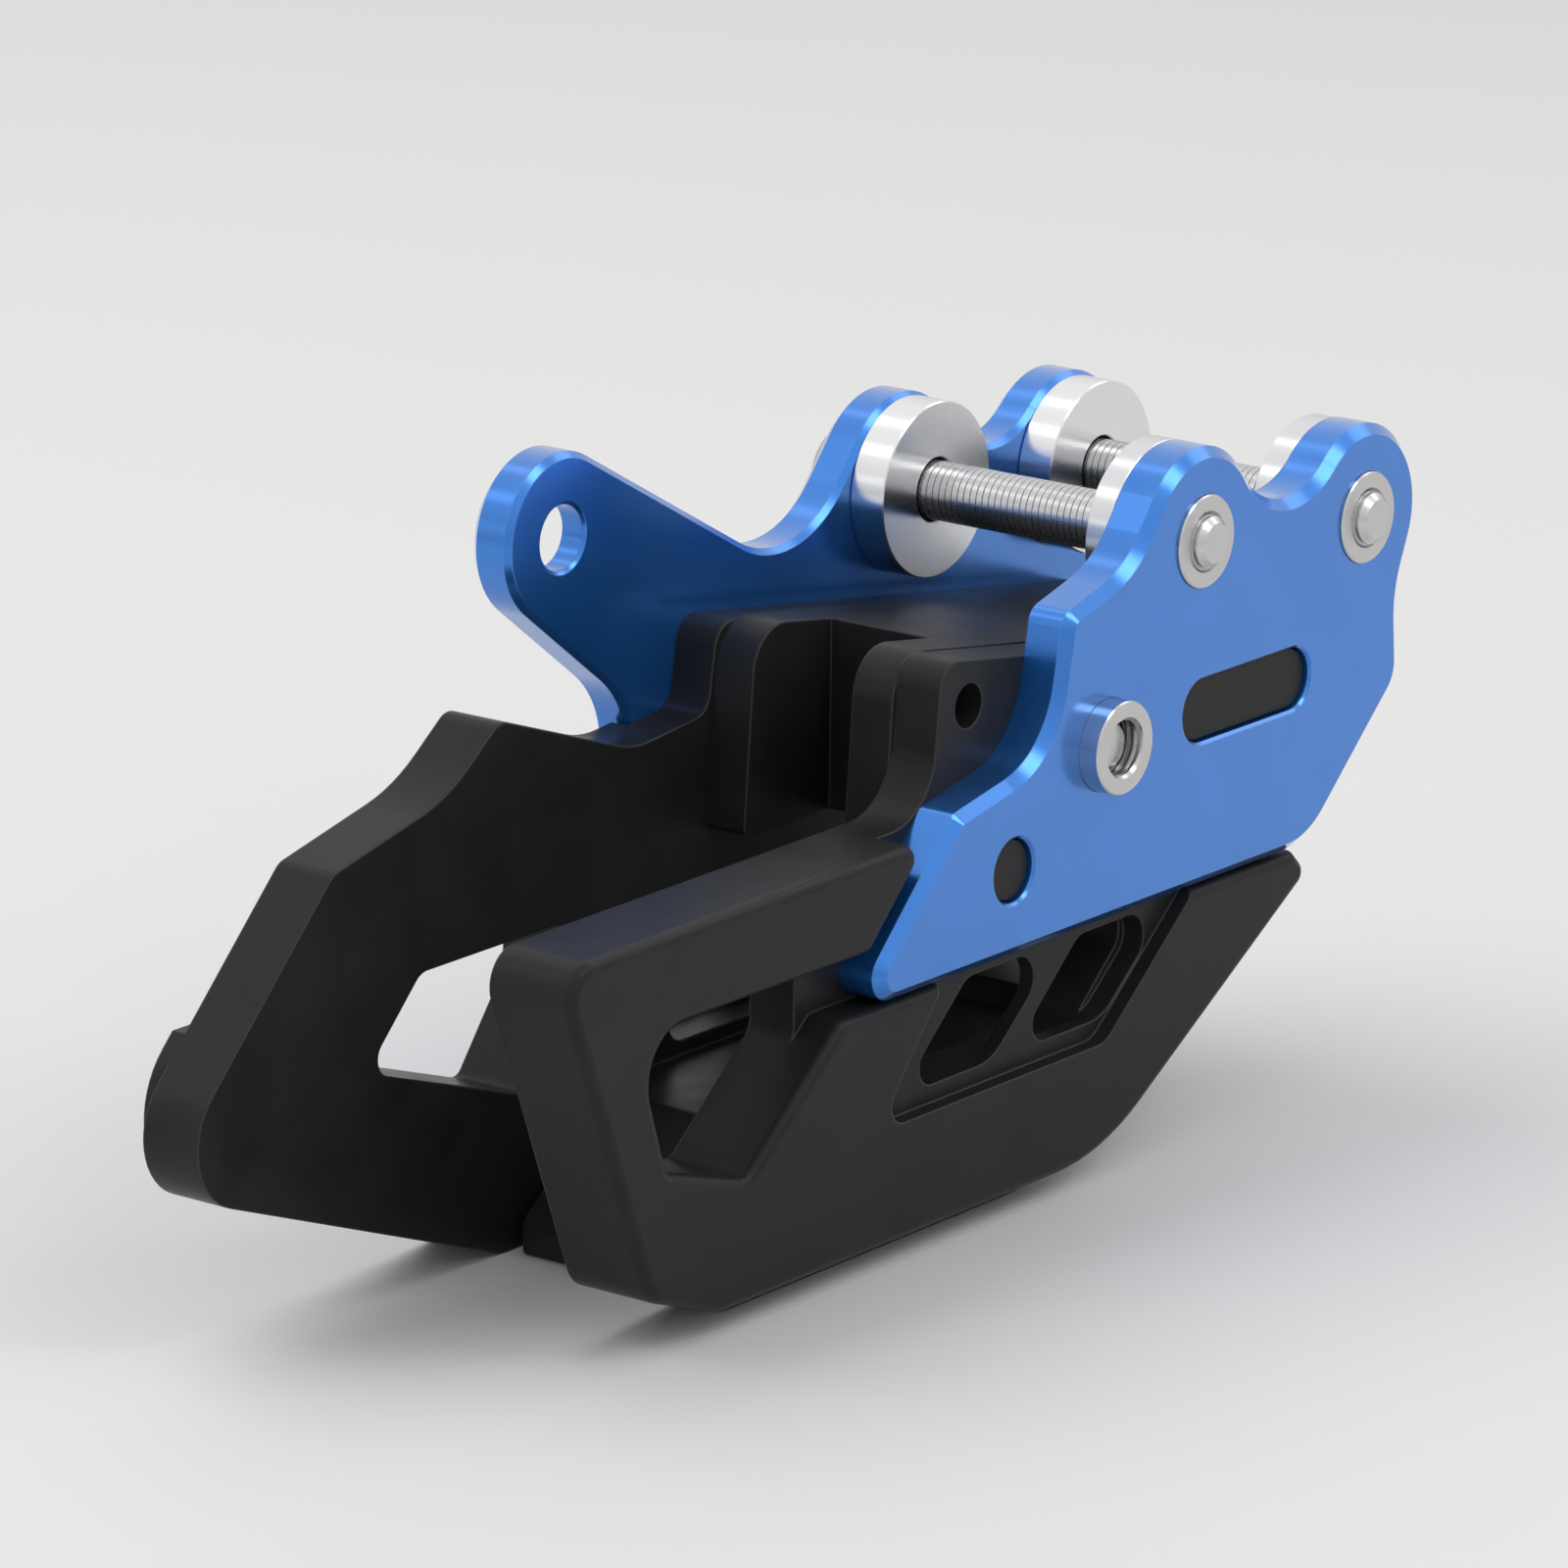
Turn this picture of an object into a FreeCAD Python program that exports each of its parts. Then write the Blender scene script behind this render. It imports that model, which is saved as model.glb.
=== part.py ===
import FreeCAD
import Part
import math
import os

# Chain guide of an off-road motorcycle: two machined side plates clamp a moulded black housing
# that the drive chain runs through. Three bolts hold the stack together. The two upper ones also
# clamp the bracket of the swingarm, which sits in the gap between the round spacers.
# x runs along the chain, y across it from the outer side plate to the inner one, z is up.
# Everything is placed from the front upper bolt, which stands at x = 0, z = 0.

V = FreeCAD.Vector

# Stack across the chain
plate_thickness = 6.5
body_width = 41.5
outer_wall = 6.9
inner_wall = 6.3
outer_pad_sink = 0.8
inner_ear_rise = 2.4
inner_pad_rise = 4.4
outer_seat = plate_thickness
inner_seat = outer_seat + body_width
channel_near = outer_seat + outer_wall
channel_far = inner_seat - inner_wall

# Bolts, inserts, washers and spacers
bolt_diameter = 7.9
bolt_hole_diameter = 8.6
insert_bore_diameter = 8.0
insert_diameter = 12.25
insert_fit = 0.05
upper_insert_proud = 0.45
lower_insert_proud = 2.9
upper_bolt_proud = 0.8
lower_bolt_short_of_face = 5.6
bolt_tip_chamfer = 0.8
head_diameter = 14.0
head_height = 4.4
head_crown_diameter = 8.4
socket_across_flats = 5.0
socket_depth = 2.6
washer_diameter = 16.0
washer_height = 1.6
outer_spacer_diameter = 24.4
outer_spacer_height = 3.7
inner_spacer_diameter = 23.5
inner_spacer_height = 5.3

# Places of the bolts, seen from the outer side
upper_bolts = [(0.0, 0.0), (37.2, -4.0)]
lower_bolt = (-20.8, -22.6)

# Side plates
first_lobe_radius = 12.2
second_lobe_radius = 12.35
saddle_radius = 12.6
plate_bottom = -46.4
plate_right = 46.6
plate_heel_x = -73.1
plate_heel_radius = 3.4
plate_nose = (-51.9, -25.2)
plate_nose_radius = 2.0
neck_shift = 1.7
neck_radius = 14.5
inner_bay_place = (-26.5, 13.1)
inner_bay_radius = 16.5
plate_face_chamfer = 1.4
inner_plate_chamfer = 0.8
slot_length = 28.8
slot_width = 8.4
slot_place = (10.7, -22.7)
sight_hole_diameter = 8.4
sight_hole_place = (-40.3, -35.0)
hole_rim_chamfer = 0.4
boss_gap = 0.3
boss_sink = 1.0
tail_lobe_place = (-71.6, 6.5)
tail_lobe_radius = 11.0
tail_hole_diameter = 8.6
tail_recess_diameter = 17.0
tail_recess_depth = 2.9

# Housing
housing_bottom = -81.4
pad_bottom = -78.6
pad_gap = 0.5
arm_gap = 2.0
arm_top = -27.2
arm_bottom = -39.4
arm_corner_radius = 2.0
outer_ear_left = -130.8
outer_ear_top = -27.6
outer_ear_radius = 4.5
inner_ear_left = -156.6
inner_ear_peak = -11.8
inner_ear_end_drop = 45.3
inner_ear_end_radius = 9.0
inner_pad_end_radius = 12.0
inner_pad_top = -42.0
top_left = (-47.6, -7.4)
top_left_radius = 3.5
neck_width = 1.9
neck_foot_radius = 9.0
body_right = 40.0
top_right_z = -20.9
top_right_radius = 3.0
floor_top = -64.0
floor_left = -90.0
floor_edge_radius = 0.5
sill_left = -12.0
sill_ramp = 3.0
sill_rise = 2.5
sill_radius = 1.0
crest_x = -74.0
crest_radius = 4.0
wall_foot_x = -91.3
wall_foot_radius = 6.0
nose_height = 4.4
nose_relief_width = 2.4
nose_relief_length = 8.0
nose_radius = 2.5
pad_edge_radius = 1.5
tip = (27.7, -50.5)
tip_radius = 2.0
tip_shoulder_radius = 1.0
lower_slope = 0.61
bottom_curve_radius = 35.0

# Weight-saving windows beside the channel
pocket_depth = 2.3
web_thickness = 2.2
window_right_x = -77.5
window_top = -40.7
window_heel_radius = 3.0
window_shoulder_radius = 1.5
pad_window_shift = 2.9
oval_above_floor = 3.4
relief_above_floor = 2.0
oval_below_plate = 1.8
oval_left = -60.0
oval_pitch = 24.2
pocket_margin = 2.4
pocket_mouth_rise = 2.0
flange_hole_diameter = 5.8
flange_hole_place = (-41.9, -14.2)
flange_hole_depth = 3.6

# Upper block, the slider above the chain
block_rise = 0.25
block_left = -50.2
block_mouth_radius = 1.0
block_setback = 0.5
channel_top = -34.9
notch_width = 15.7
notch_end_x = -32.3
block_corner_radius = 6.0
block_foot_radius = 3.0
block_toe = (4.5, 5.9)

# Runs of corners, each as (along, up, radius) from the place that its outline names.
# The oval's second figure is a share of its height.
plate_toe_run = [(-20.6, 0.0, 13.0), (0.0, 18.8, 6.0), (-1.0, 30.6, 15.0)]
plate_shoulder_run = [(-15.8, -0.6, 17.0), (-29.1, -4.2, 2.7), (-32.5, -21.5, 15.8)]
right_end_run = [(-16.0, -0.5, 2.0), (0.0, 16.4, 5.0)]
outer_ear_foot = (18.0, -45.9, 5.0)
pad_foot = (32.3, 6.0)
window_left_run = [(15.4, 0.0, 6.5), (21.5, -18.3, 1.8), (37.2, -23.0, 2.0)]
inner_neck_run = [(-0.3, -0.5, 3.5), (-2.2, -12.2, 3.0)]
inner_ear_run = [(91.6, -9.3, 15.0), (64.8, 0.0, 3.0), (54.5, -7.7, 25.0), (32.7, -12.6, 3.0)]
inner_window_left_run = [(49.4, 0.0, 3.0), (39.0, -10.4, 2.5)]
inner_window_right_run = [(-9.7, -20.6, 1.8), (-0.7, -8.8, 4.0), (0.0, 0.0, 2.0)]
oval_run = [(0.0, 0.0, 2.6), (19.6, 0.0, 7.5), (34.7, 1.0, 4.3), (14.1, 1.0, 4.0)]
pocket_foot_run = [(-7.4, 0.0, 2.6), (41.5, 0.0, 5.0)]
pocket_mouth_run = [(64.0, 0.0, 0.0), (8.0, 0.0, 0.0)]
relief_foot_run = [(-2.0, 0.0, 3.0), (41.1, 0.0, 4.0)]
relief_top_run = [(56.6, 0.0, 3.0), (12.5, 0.0, 3.0)]


def corner(x, z, radius=0.0):
    """A vertex of an outline, rounded with its radius."""
    return {"x": x, "z": z, "turn": 0.0, "radius": radius}


def run(corners, x, z):
    """Rounded corners that are given from one place."""
    return [corner(x + along, z + up, radius) for along, up, radius in corners]


def lobe(x, z, radius):
    """A boss that the outline goes round on the outside."""
    return {"x": x, "z": z, "turn": radius, "radius": 0.0}


def hollow(x, z, radius):
    """A round bay that the outline goes round on the inside."""
    return {"x": x, "z": z, "turn": -radius, "radius": 0.0}


def tangent(first, second):
    """Start, end and heading of the straight that touches two stations."""
    dx = second["x"] - first["x"]
    dz = second["z"] - first["z"]
    heading = math.atan2(dz, dx)
    heading -= math.asin((second["turn"] - first["turn"]) / math.hypot(dx, dz))
    side = V(-math.sin(heading), 0, math.cos(heading))
    start = V(first["x"], 0, first["z"]) - side * first["turn"]
    end = V(second["x"], 0, second["z"]) - side * second["turn"]
    return start, end, heading


def round_station(station, arrive, leave, before, after):
    """The arc at one station, with the points where the straights end."""
    turn = (leave - arrive + math.pi) % (2 * math.pi) - math.pi
    if station["turn"]:
        centre = V(station["x"], 0, station["z"])
        radius = abs(station["turn"])
        sense = math.copysign(1, station["turn"])
        if turn * sense < 0:
            turn += 2 * math.pi * sense
        first = arrive - sense * math.pi / 2
    else:
        trim = abs(math.tan(turn / 2))
        radius = min(station["radius"], 0.49 * min(before, after) / max(trim, 1e-9))
        if radius < 1e-6 or abs(turn) < 1e-6:
            return None
        sense = math.copysign(1, turn)
        side = V(-math.sin(arrive), 0, math.cos(arrive))
        ahead = V(math.cos(arrive), 0, math.sin(arrive))
        touch = V(station["x"], 0, station["z"]) - ahead * (radius * trim)
        centre = touch + side * (radius * sense)
        first = arrive - sense * math.pi / 2
    points = [centre + V(math.cos(first + turn * share), 0, math.sin(first + turn * share)) * radius
              for share in (0, 0.5, 1)]
    return points


def outline(stations):
    """Closed outline in the xz plane, like a belt laid round the stations with the part on its left."""
    count = len(stations)
    straights = [tangent(stations[i], stations[(i + 1) % count]) for i in range(count)]
    lengths = [start.distanceToPoint(end) for start, end, heading in straights]
    arcs = []
    for i, station in enumerate(stations):
        arcs.append(round_station(station, straights[i - 1][2], straights[i][2], lengths[i - 1], lengths[i]))
    edges = []
    for i in range(count):
        here = arcs[i]
        beyond = arcs[(i + 1) % count]
        start = here[2] if here else straights[i][0]
        end = beyond[0] if beyond else straights[i][1]
        if start.distanceToPoint(end) > 1e-4:
            edges.append(Part.LineSegment(start, end).toShape())
        if beyond:
            edges.append(Part.Arc(beyond[0], beyond[1], beyond[2]).toShape())
    return Part.Wire(Part.sortEdges(edges)[0])


def slab(stations, near, far):
    """Plate of the given outline between two y values."""
    face = Part.Face(outline(stations))
    face.translate(V(0, near, 0))
    return face.extrude(V(0, far - near, 0))


def rod(place, diameter, near, far):
    """Round bar or bore along y."""
    return Part.makeCylinder(diameter / 2, far - near, V(place[0], near, place[1]), V(0, 1, 0))


def turned(place, profile):
    """Body turned about an axis along y, from (radius, y) points."""
    points = [V(place[0] + radius, y, place[1]) for radius, y in profile]
    face = Part.Face(Part.makePolygon(points + points[:1]))
    return face.revolve(V(place[0], 0, place[1]), V(0, 1, 0), 360)


def edges_on(shape, y):
    """Edges that lie in the plane of one y value."""
    return [edge for edge in shape.Edges
            if abs(edge.BoundBox.YMin - y) < 1e-3 and abs(edge.BoundBox.YMax - y) < 1e-3]


def rim_edges(shape, y, place, length):
    """Edges on one face of a plate that go round the opening at one place."""
    return [edge for edge in edges_on(shape, y)
            if math.hypot(edge.CenterOfMass.x - place[0], edge.CenterOfMass.z - place[1]) < length / 2]


def saddle():
    """Bay between the two upper lobes, tangent to both."""
    (x1, z1), (x2, z2) = upper_bolts
    near = first_lobe_radius + saddle_radius
    far = second_lobe_radius + saddle_radius
    span = math.hypot(x2 - x1, z2 - z1)
    along = (near ** 2 - far ** 2 + span ** 2) / (2 * span)
    height = math.sqrt(near ** 2 - along ** 2)
    ux = (x2 - x1) / span
    uz = (z2 - z1) / span
    return hollow(x1 + ux * along - uz * height, z1 + uz * along + ux * height, saddle_radius - 0.001)


def plate_right_side():
    """Lower edge, toe and right flank that both side plates share."""
    x2, z2 = upper_bolts[1]
    heel = corner(plate_heel_x, plate_bottom, plate_heel_radius)
    return [heel] + run(plate_toe_run, plate_right, plate_bottom) + [lobe(x2, z2, second_lobe_radius), saddle()]


def outer_plate_outline():
    x1, z1 = upper_bolts[0]
    nose = corner(plate_nose[0], plate_nose[1], plate_nose_radius)
    return plate_right_side() + [lobe(x1, z1, first_lobe_radius)] + run(plate_shoulder_run, x1, z1) + [nose]


def inner_plate_outline():
    x1, z1 = upper_bolts[0]
    return plate_right_side() + [
        lobe(x1, z1, first_lobe_radius),
        hollow(x1 + inner_bay_place[0], z1 + inner_bay_place[1], inner_bay_radius),
        lobe(tail_lobe_place[0], tail_lobe_place[1], tail_lobe_radius),
        corner(plate_nose[0] + neck_shift, plate_nose[1] + neck_shift, neck_radius),
    ]


def slot_outline(grow):
    """Outline of the slot in the outer side plate, made wider or narrower all round."""
    reach = (slot_length - slot_width) / 2
    x, z = slot_place
    radius = slot_width / 2 + grow
    return [lobe(x - reach, z, radius), lobe(x + reach, z, radius)]


def outer_side_plate():
    plate = slab(outer_plate_outline(), 0, plate_thickness)
    plate = plate.makeChamfer(plate_face_chamfer, edges_on(plate, 0))
    for place in upper_bolts + [lower_bolt]:
        plate = plate.cut(rod(place, insert_diameter + 2 * insert_fit, -1, plate_thickness + 1))
    plate = plate.cut(slab(slot_outline(0), -1, plate_thickness + 1))
    plate = plate.cut(rod(sight_hole_place, sight_hole_diameter, -1, plate_thickness + 1))
    rims = rim_edges(plate, 0, slot_place, slot_length) + rim_edges(plate, 0, sight_hole_place, sight_hole_diameter)
    return plate.makeChamfer(hole_rim_chamfer, rims)


def inner_side_plate():
    plate = slab(inner_plate_outline(), inner_seat, inner_seat + plate_thickness)
    plate = plate.makeChamfer(inner_plate_chamfer, edges_on(plate, inner_seat))
    plate = plate.makeChamfer(plate_face_chamfer, edges_on(plate, inner_seat + plate_thickness))
    for place in upper_bolts + [lower_bolt]:
        plate = plate.cut(rod(place, bolt_hole_diameter, inner_seat - 1, inner_seat + plate_thickness + 1))
    back = inner_seat + plate_thickness
    plate = plate.cut(rod(tail_lobe_place, tail_hole_diameter, inner_seat - 1, back + 1))
    plate = plate.cut(rod(tail_lobe_place, tail_recess_diameter, back - tail_recess_depth, back + 1))
    return plate.makeChamfer(hole_rim_chamfer, rim_edges(plate, inner_seat, tail_lobe_place, tail_hole_diameter))


def slant_x(z):
    """Where the slanted lower right side of the housing is at one height."""
    return tip[0] - (tip[1] - z) / lower_slope


def window_left():
    """Left part of the gap between the outer ear and the body."""
    return run(window_left_run, outer_ear_left, arm_bottom)


def outer_ear_end():
    """Upper left corner and foot of the outer ear, which the wall and the pad share."""
    along, drop, radius = outer_ear_foot
    return [
        corner(outer_ear_left, outer_ear_top, outer_ear_radius),
        corner(outer_ear_left + along, outer_ear_top + drop, radius),
    ]


def outer_pad_outline():
    """Raised part of the housing round the outer side plate, with the open window behind the arm."""
    border = plate_bottom - pad_gap
    arm_shift = arm_gap * math.sqrt(2)
    lean = plate_nose[1] - plate_nose[0] + arm_shift
    along, radius = pad_foot
    return [
        corner(tip[0], tip[1], tip_radius),
        corner(tip[0] - (border - tip[1]), border, tip_shoulder_radius),
        corner(window_right_x + pad_window_shift, border, arm_corner_radius),
    ] + window_left()[::-1] + [
        corner(arm_bottom - lean, arm_bottom, arm_corner_radius),
        corner(arm_top - lean, arm_top, arm_corner_radius),
    ] + outer_ear_end() + [
        corner(outer_ear_left + along, pad_bottom, radius),
        corner(slant_x(pad_bottom), pad_bottom, bottom_curve_radius),
    ]


def body_right_side():
    """Bottom, slanted side and right end that both walls share, up to the top."""
    return [
        corner(wall_foot_x, housing_bottom, wall_foot_radius),
        corner(slant_x(housing_bottom), housing_bottom, bottom_curve_radius),
        corner(tip[0], tip[1], tip_radius),
    ] + run(right_end_run, body_right, plate_bottom) + [corner(body_right, top_right_z, top_right_radius)]


def outer_wall_outline():
    return body_right_side() + [
        corner(top_left[0], top_left[1], top_left_radius),
        corner(top_left[0] - neck_width, arm_top, neck_foot_radius),
    ] + outer_ear_end()


def outer_window_outline():
    border = plate_bottom - pad_gap
    window = window_left()
    foot = window[-1]
    rise = (border - foot["z"]) / (window_right_x + pad_window_shift - foot["x"])
    return window + [
        corner(window_right_x, foot["z"] + rise * (window_right_x - foot["x"]), window_heel_radius),
        corner(window_right_x, arm_bottom, window_shoulder_radius),
    ]


def inner_wall_outline(end_radius):
    neck = run(inner_neck_run, top_left[0], top_left[1])
    ear = run(inner_ear_run, inner_ear_left, inner_ear_peak)
    end = corner(inner_ear_left, inner_ear_peak - inner_ear_end_drop, end_radius)
    return body_right_side() + neck + ear + [end]


def inner_window_outline():
    left_side = run(inner_window_left_run, inner_ear_left, window_top)
    return left_side + run(inner_window_right_run, window_right_x, window_top)


def oval_bottom():
    return floor_top + oval_above_floor


def oval_top():
    return plate_bottom - oval_below_plate


def oval_outline(shift):
    """Slanted window with one tight and one wide end."""
    height = oval_top() - oval_bottom()
    return [corner(oval_left + shift + along, oval_bottom() + share * height, radius)
            for along, share, radius in oval_run]


def pocket_outline():
    """Shallow pocket round both slanted windows, open towards the side plate."""
    foot = run(pocket_foot_run, oval_left, oval_bottom() - pocket_margin)
    return foot + run(pocket_mouth_run, oval_left, plate_bottom + pocket_mouth_rise)


def relief_outline():
    """Hollow behind the web of the slanted windows."""
    foot = run(relief_foot_run, oval_left, floor_top + relief_above_floor)
    return foot + run(relief_top_run, oval_left, oval_top())


def outer_pad():
    face = outer_pad_sink
    pad = slab(outer_pad_outline(), face, outer_seat)
    pad = pad.makeFillet(pad_edge_radius, edges_on(pad, face))
    pocket_floor = face + pocket_depth
    return pad.cut(slab(pocket_outline(), face - 1, pocket_floor))


def inner_pad():
    """Thicker outer side of the inner ear and the raised lower part, recessed round the side plate."""
    face = inner_seat + inner_pad_rise
    step = inner_seat + inner_ear_rise
    raised = slab(inner_wall_outline(inner_pad_end_radius), step, face)
    above = Part.makeBox(body_right - inner_ear_left, inner_pad_rise, top_left[1] - inner_pad_top,
                         V(inner_ear_left, step, inner_pad_top))
    layer = slab(inner_wall_outline(inner_ear_end_radius), inner_seat, step).fuse(raised.cut(above))
    clearance = Part.Face(outline(inner_plate_outline())).makeOffset2D(pad_gap)
    clearance.translate(V(0, inner_seat - 1, 0))
    layer = layer.cut(clearance.extrude(V(0, plate_thickness + 2, 0)))
    pieces = sorted(layer.Solids, key=lambda solid: solid.Volume)
    return pieces[-1].cut(slab(pocket_outline(), face - pocket_depth, face + 1))


def floor_block():
    nose_top = housing_bottom + nose_height
    stations = [
        corner(floor_left, housing_bottom, 1.0),
        corner(slant_x(housing_bottom), housing_bottom, bottom_curve_radius),
        corner(slant_x(floor_top + sill_rise), floor_top + sill_rise, floor_edge_radius),
        corner(sill_left + sill_ramp, floor_top + sill_rise, sill_radius),
        corner(sill_left, floor_top, sill_radius),
        corner(crest_x, floor_top, crest_radius),
        corner(floor_left, nose_top, nose_radius),
    ]
    block = slab(stations, channel_near, channel_far)
    groove = Part.makeBox(nose_relief_length + 1, nose_relief_width, floor_top - housing_bottom,
                          V(floor_left - 1, channel_far - nose_relief_width, housing_bottom))
    return block.cut(groove)


def housing():
    body = slab(outer_wall_outline(), outer_seat, channel_near)
    inner_wall = slab(inner_wall_outline(inner_ear_end_radius), channel_far, inner_seat)
    slot_boss = slab(slot_outline(-boss_gap), boss_sink, outer_seat)
    hole_boss = rod(sight_hole_place, sight_hole_diameter - 2 * boss_gap, boss_sink, outer_seat)
    body = body.fuse([outer_pad(), floor_block(), inner_wall, inner_pad(), slot_boss, hole_boss]).removeSplitter()
    far_face = inner_seat + inner_pad_rise
    body = body.cut(slab(outer_window_outline(), outer_seat, channel_near + 1))
    body = body.cut(slab(inner_window_outline(), channel_far - 1, far_face + 1))
    near_web = outer_pad_sink + pocket_depth
    far_web = far_face - pocket_depth
    for shift in (0, oval_pitch):
        body = body.cut(slab(oval_outline(shift), near_web - 1, near_web + web_thickness + 1))
        body = body.cut(slab(oval_outline(shift), far_web - web_thickness - 1, far_web + 1))
    body = body.cut(slab(relief_outline(), near_web + web_thickness, channel_near))
    body = body.cut(slab(relief_outline(), channel_far, far_web - web_thickness))
    body = body.cut(rod(lower_bolt, bolt_hole_diameter, outer_seat - 1, inner_seat + 1))
    return body.cut(rod(flange_hole_place, flange_hole_diameter, outer_seat - 1, channel_near + 1))


def upper_block():
    stations = [
        corner(block_left, channel_top, block_mouth_radius),
        corner(body_right - block_toe[0], channel_top, block_foot_radius),
        corner(body_right, channel_top + block_toe[1], block_foot_radius),
        corner(body_right, top_right_z + block_rise, block_foot_radius),
        corner(top_left[0] - block_setback, top_left[1] + block_rise, block_corner_radius),
    ]
    block = slab(stations, channel_near, channel_far)
    middle = (channel_near + channel_far) / 2
    notch = Part.makeBox(notch_end_x - block_left + 1, notch_width, top_left[1] - channel_top + 2,
                         V(block_left - 1, middle - notch_width / 2, channel_top - 1))
    block = block.cut(notch)
    block = block.cut(rod(lower_bolt, bolt_hole_diameter, channel_near - 1, channel_far + 1))
    return block.cut(rod(flange_hole_place, flange_hole_diameter, channel_near - 1, channel_near + flange_hole_depth))


def ring(place, diameter, bore, near, far):
    """Plain round ring, such as a spacer, a washer or an insert pressed into a plate."""
    return rod(place, diameter, near, far).cut(rod(place, bore, near - 1, far + 1))


def bolt(place, tip_y):
    """Low round-headed bolt that comes from the inner side and ends in an insert."""
    seat = inner_seat + plate_thickness + washer_height
    radius = bolt_diameter / 2
    top = seat + head_height
    shape = turned(place, [
        (0, tip_y),
        (radius - bolt_tip_chamfer, tip_y),
        (radius, tip_y + bolt_tip_chamfer),
        (radius, seat),
        (head_diameter / 2, seat),
        (head_crown_diameter / 2, top),
        (0, top),
    ])
    reach = socket_across_flats / 2 / math.cos(math.pi / 6)
    corners = [V(place[0] + reach * math.cos(i * math.pi / 3), top - socket_depth,
                 place[1] + reach * math.sin(i * math.pi / 3)) for i in range(6)]
    socket = Part.Face(Part.makePolygon(corners + corners[:1])).extrude(V(0, socket_depth + 1, 0))
    return shape.cut(socket)


def build():
    parts = {
        "housing": housing(),
        "upper_block": upper_block(),
        "outer_side_plate": outer_side_plate(),
        "inner_side_plate": inner_side_plate(),
    }
    back = inner_seat + plate_thickness
    names = ("front", "rear", "lower")
    prouds = (upper_insert_proud, upper_insert_proud, lower_insert_proud)
    tips = (-upper_bolt_proud, -upper_bolt_proud, lower_bolt_short_of_face)
    for name, place, proud, beyond in zip(names, upper_bolts + [lower_bolt], prouds, tips):
        parts["insert_" + name] = ring(place, insert_diameter, insert_bore_diameter, -proud, outer_seat)
        parts["bolt_" + name] = bolt(place, beyond - proud)
        parts["washer_" + name] = ring(place, washer_diameter, bolt_hole_diameter, back, back + washer_height)
    for name, place in zip(names, upper_bolts):
        parts["outer_spacer_" + name] = ring(place, outer_spacer_diameter, bolt_hole_diameter,
                                             outer_seat, outer_seat + outer_spacer_height)
        parts["inner_spacer_" + name] = ring(place, inner_spacer_diameter, bolt_hole_diameter,
                                             inner_seat - inner_spacer_height, inner_seat)
    return parts


def main():
    os.makedirs("parts", exist_ok=True)
    parts = build()
    box = Part.makeCompound(list(parts.values())).optimalBoundingBox(False)
    to_ground = V(-(box.XMin + box.XMax) / 2, -(box.YMin + box.YMax) / 2, -box.ZMin)
    for name, shape in parts.items():
        shape.translate(to_ground)
        shape.exportStep("parts/" + name + ".step")
        print(name, "valid" if shape.isValid() else "NOT VALID", len(shape.Solids), round(shape.Volume, 1))
    print("moved by", to_ground, "size", box.XLength, box.YLength, box.ZLength)


main()
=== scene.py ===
import math
import bpy
from mathutils import Matrix, Vector


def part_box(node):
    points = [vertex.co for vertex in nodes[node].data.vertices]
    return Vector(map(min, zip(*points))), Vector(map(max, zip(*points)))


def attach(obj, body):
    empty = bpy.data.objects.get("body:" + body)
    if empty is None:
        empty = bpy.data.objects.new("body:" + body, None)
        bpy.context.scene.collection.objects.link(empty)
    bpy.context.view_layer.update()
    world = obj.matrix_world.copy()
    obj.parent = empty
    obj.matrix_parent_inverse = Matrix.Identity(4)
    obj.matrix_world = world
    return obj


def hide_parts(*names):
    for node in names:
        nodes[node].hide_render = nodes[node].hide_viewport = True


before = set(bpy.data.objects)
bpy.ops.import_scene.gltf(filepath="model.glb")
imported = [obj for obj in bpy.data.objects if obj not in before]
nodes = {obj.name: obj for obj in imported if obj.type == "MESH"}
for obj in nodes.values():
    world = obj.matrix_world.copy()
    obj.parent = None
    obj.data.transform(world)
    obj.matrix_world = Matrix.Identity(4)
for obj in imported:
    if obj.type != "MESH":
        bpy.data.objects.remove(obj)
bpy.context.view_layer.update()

mm = 0.001
print("frame loaded:", len(nodes), "pieces")


# The photograph's viewpoint, fitted from the round holes and the straight edges
camera = {
    "azimuth": -52.839,         # degrees, 0 looks along +Y
    "elevation": 16.282,
    "roll": 0.653,
    "distance": 1.1668,         # metres from the target
    "target": (-0.012151, -0.0088, 0.047216),
    "lens": 213.75,             # mm
    "sensor": 36,
    "shiftUp": 0.0575,          # the photograph is cropped above the optical axis
    "clip": (0.01, 20),
}


def makeCamera():
    azimuth = math.radians(camera["azimuth"])
    elevation = math.radians(camera["elevation"])
    roll = math.radians(camera["roll"])
    back = Vector((math.sin(azimuth) * math.cos(elevation),
                   -math.cos(azimuth) * math.cos(elevation),
                   math.sin(elevation)))
    side = Vector((math.cos(azimuth), math.sin(azimuth), 0))
    up = back.cross(side)
    rolledSide = side * math.cos(roll) + up * math.sin(roll)
    rolledUp = up * math.cos(roll) - side * math.sin(roll)
    data = bpy.data.cameras.new("photoCamera")
    data.lens = camera["lens"]
    data.sensor_width = camera["sensor"]
    data.shift_y = camera["shiftUp"]
    data.clip_start, data.clip_end = camera["clip"]
    data.dof.use_dof = False
    view = bpy.data.objects.new("photoCamera", data)
    turn = Matrix((rolledSide, rolledUp, back)).transposed().to_4x4()
    place = Vector(camera["target"]) + back * camera["distance"]
    view.matrix_world = Matrix.Translation(place) @ turn
    bpy.context.collection.objects.link(view)
    bpy.context.scene.camera = view


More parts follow.
